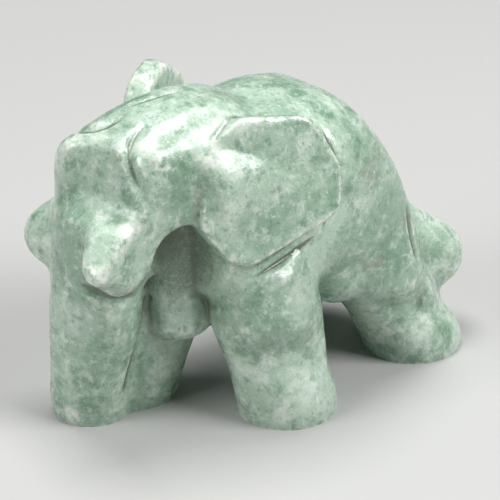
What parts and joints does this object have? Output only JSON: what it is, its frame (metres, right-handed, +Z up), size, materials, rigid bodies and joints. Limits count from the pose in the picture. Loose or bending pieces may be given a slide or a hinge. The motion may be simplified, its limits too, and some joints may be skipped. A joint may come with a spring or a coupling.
{
  "type": "jade figurine",
  "caption": "Small walking elephant carved from one piece of mottled pale green jade, with fan ears, blunt tusks, a trunk that reaches the ground and a stub tail.",
  "frame": {"origin": "on the ground, under the middle of the whole figure", "axes": "+X to the elephant's left side, -Y the way it walks, +Z up"},
  "size_m": [0.0274, 0.0504, 0.0349],
  "materials": {
    "jade": "waxed polish with wheel scratches, mottled pale grey-green with white and dark green clouds"
  },
  "bodies": {
    "root": {"torso": "jade", "head": "jade", "breast": "jade", "trunk": "jade", "left_tusk": "jade", "right_tusk": "jade", "left_ear": "jade", "right_ear": "jade", "left_front_leg": "jade", "right_front_leg": "jade", "left_hind_leg": "jade", "right_hind_leg": "jade", "tail": "jade"}
  },
  "joints": []
}
